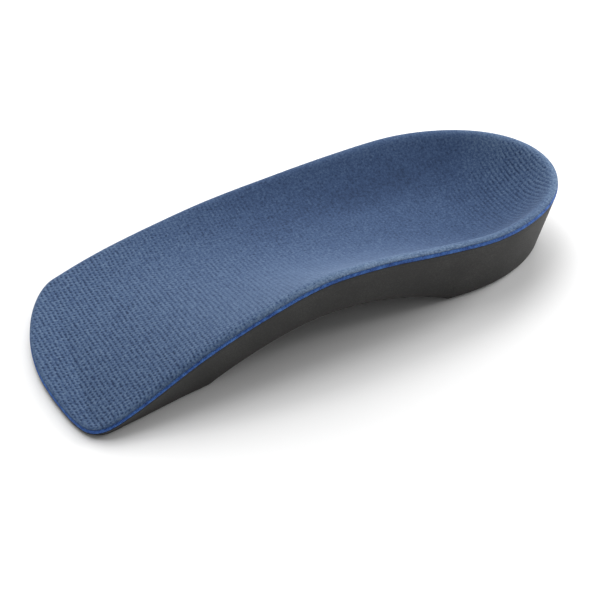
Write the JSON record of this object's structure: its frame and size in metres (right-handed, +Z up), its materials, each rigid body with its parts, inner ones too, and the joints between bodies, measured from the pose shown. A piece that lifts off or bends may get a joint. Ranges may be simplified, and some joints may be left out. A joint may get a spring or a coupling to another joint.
{
  "type": "arch support half insole",
  "caption": "Right-foot arch support half insole: moulded black foam base with a heel cup and a raised inner arch, hollow below, under a ribbed blue knit cover.",
  "frame": {"origin": "on the ground, under the middle of the insole's bounding box", "axes": "+X to the outer side of the foot, +Y to the toes, +Z up"},
  "size_m": [0.08, 0.1776, 0.031],
  "materials": {
    "knit": "brushed ribbed knit",
    "backing_foam": "thin foam sheet, cut edge",
    "base_foam": "matte moulded foam"
  },
  "bodies": {
    "root": {"top_cover": "knit", "cover_backing": "backing_foam", "base": "base_foam"}
  },
  "joints": []
}
